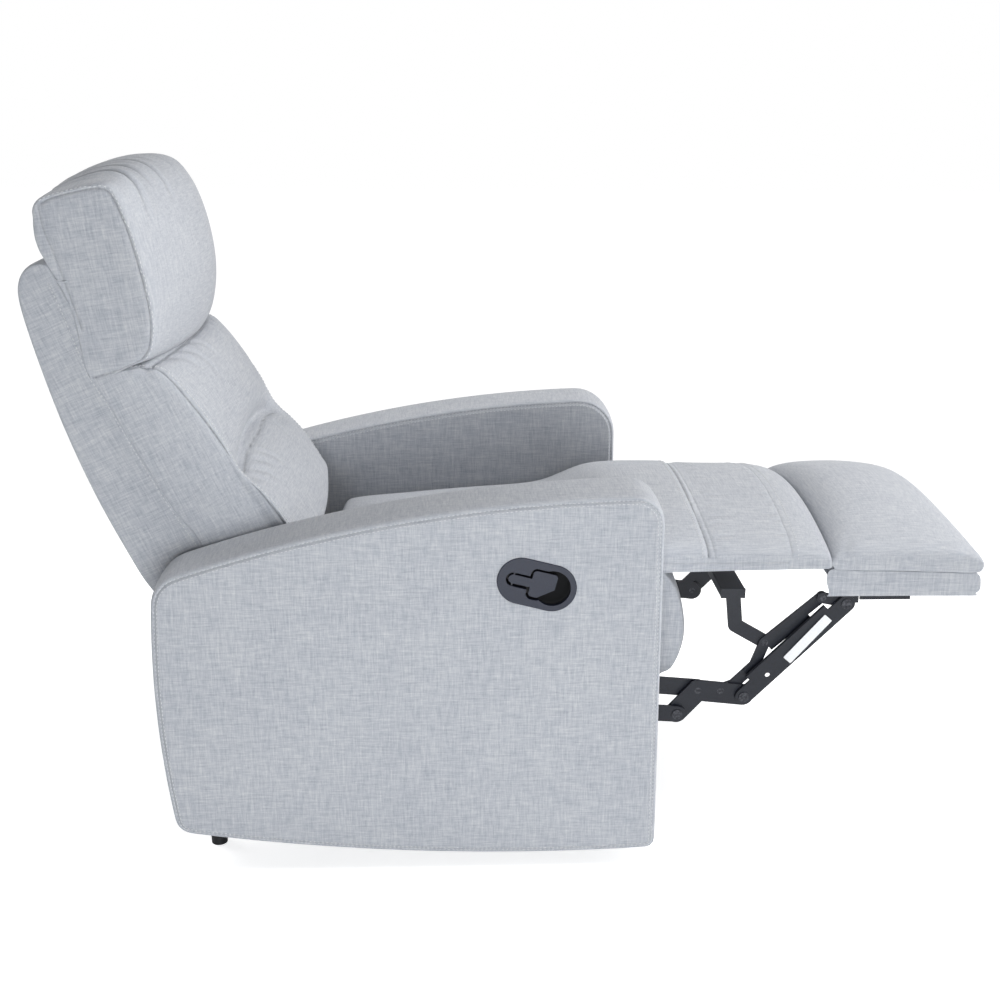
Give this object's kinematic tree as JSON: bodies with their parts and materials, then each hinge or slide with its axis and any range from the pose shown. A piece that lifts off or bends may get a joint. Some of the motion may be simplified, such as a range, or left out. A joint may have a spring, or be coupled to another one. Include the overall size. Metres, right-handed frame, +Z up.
{
  "type": "recliner armchair",
  "caption": "Manual recliner armchair with padded arms, a reclining pillow back and a footrest that folds out on a steel linkage; a flush pull latch in one arm.",
  "frame": {"origin": "on the floor, under the middle of the opened chair's bounding box", "axes": "+X to the front, where the footrest unfolds; +Y to the sitter's left; +Z up"},
  "size_m": [1.39, 0.702, 1.012],
  "materials": {
    "upholstery": "linen-like slub weave",
    "timber": "bare plywood and pine",
    "webbing": "elastic webbing",
    "black_steel": "black powder coat",
    "rivet_steel": "darkened steel",
    "latch_plastic": "fine-grained charcoal",
    "glide_plastic": "black moulded plastic",
    "cable_sleeve": "black sleeve"
  },
  "bodies": {
    "frame": {"arm_right": "upholstery", "arm_left": "upholstery", "arm_frame_right": "timber", "arm_frame_left": "timber", "front_rail": "timber", "front_rail_pad": "upholstery", "rear_rail": "timber", "seat_frame": "timber", "seat_webbing": "webbing", "seat_cushion": "upholstery", "base_plate_right": "black_steel", "base_plate_left": "black_steel", "bar_studs": "rivet_steel", "back_hinge_plates": "black_steel", "back_hinge_pins": "rivet_steel", "glides": "glide_plastic", "latch_bezel": "latch_plastic", "latch_pin": "rivet_steel", "release_cable": "cable_sleeve"},
    "upper_bars": {"upper_bar_right": "black_steel", "upper_bar_left": "black_steel", "drive_tube": "black_steel"},
    "fork_plates": {"fork_plate_right": "black_steel", "fork_plate_left": "black_steel", "fork_pins": "rivet_steel"},
    "lower_links": {"lower_link_right": "black_steel", "lower_link_left": "black_steel", "lower_link_pins": "rivet_steel"},
    "inner_links": {"inner_link_right": "black_steel", "inner_link_left": "black_steel", "strap_pins": "rivet_steel"},
    "outer_links": {"outer_link_right": "black_steel", "outer_link_left": "black_steel"},
    "calf_support": {"calf_support_bar": "black_steel", "strap_right": "black_steel", "strap_left": "black_steel"},
    "footrest": {"footrest_board": "upholstery", "footrest_pad": "upholstery", "footrest_bracket_right": "black_steel", "footrest_bracket_left": "black_steel", "footrest_pins": "rivet_steel"},
    "calf_pad": {"calf_pad": "upholstery", "calf_pad_end": "upholstery"},
    "back": {"back_shell": "upholstery", "back_frame": "timber", "head_pillow": "upholstery", "lumbar_cushion": "upholstery", "back_brackets": "black_steel"},
    "latch": {"latch_lever": "latch_plastic"}
  },
  "joints": [
    {"name": "footrest_fold", "type": "hinge", "parent": "fork_plates", "child": "inner_links", "pos_m": [0.312, 0, 0.225], "axis": [0, -1, 0], "range_deg": [0, 120.17]},
    {"name": "upper_bar_swing", "type": "hinge", "parent": "frame", "child": "upper_bars", "pos_m": [-0.015, 0, 0.252], "axis": [0, -1, 0], "range_deg": [-24.65, 0]},
    {"name": "fork_swing", "type": "hinge", "parent": "upper_bars", "child": "fork_plates", "pos_m": [0.277, 0, 0.226], "axis": [0, -1, 0], "range_deg": [-61.75, 0]},
    {"name": "lower_link_swing", "type": "hinge", "parent": "fork_plates", "child": "lower_links", "pos_m": [0.245, 0, 0.19], "axis": [0, -1, 0], "range_deg": [0, 10.54]},
    {"name": "outer_link_swing", "type": "hinge", "parent": "fork_plates", "child": "outer_links", "pos_m": [0.347, 0, 0.218], "axis": [0, -1, 0], "range_deg": [0, 120.37]},
    {"name": "footrest_turn", "type": "hinge", "parent": "inner_links", "child": "footrest", "pos_m": [0.46, 0, 0.377], "axis": [0, -1, 0], "range_deg": [-120.37, 0]},
    {"name": "calf_support_turn", "type": "hinge", "parent": "inner_links", "child": "calf_support", "pos_m": [0.377, 0, 0.303], "axis": [0, -1, 0], "range_deg": [-73.27, 0]},
    {"name": "calf_pad_turn", "type": "hinge", "parent": "frame", "child": "calf_pad", "pos_m": [0.277, 0, 0.424], "axis": [0, -1, 0], "range_deg": [-86.2, 0], "deforming": ["calf_pad_end"]},
    {"name": "back_recline", "type": "hinge", "parent": "frame", "child": "back", "pos_m": [-0.45, 0, 0.335], "axis": [0, -1, 0], "range_deg": [-13, 20]},
    {"name": "latch_pull", "type": "hinge", "parent": "frame", "child": "latch", "pos_m": [-0.0164, -0.3475, 0.45764], "axis": [-0.2504, 0, -0.9681], "range_deg": [0, 32], "stiffness_Nm_per_rad": 0.15, "springref_deg": -20.05}
  ],
  "couplings": [
    {"joint": "upper_bar_swing", "follows": "footrest_fold", "ratio": -0.20346},
    {"joint": "fork_swing", "follows": "footrest_fold", "ratio": -0.51219},
    {"joint": "lower_link_swing", "follows": "footrest_fold", "ratio": 0.086045},
    {"joint": "outer_link_swing", "follows": "footrest_fold", "ratio": 1},
    {"joint": "footrest_turn", "follows": "footrest_fold", "ratio": -1},
    {"joint": "calf_support_turn", "follows": "footrest_fold", "ratio": -0.60806},
    {"joint": "calf_pad_turn", "follows": "footrest_fold", "ratio": -0.71565}
  ]
}
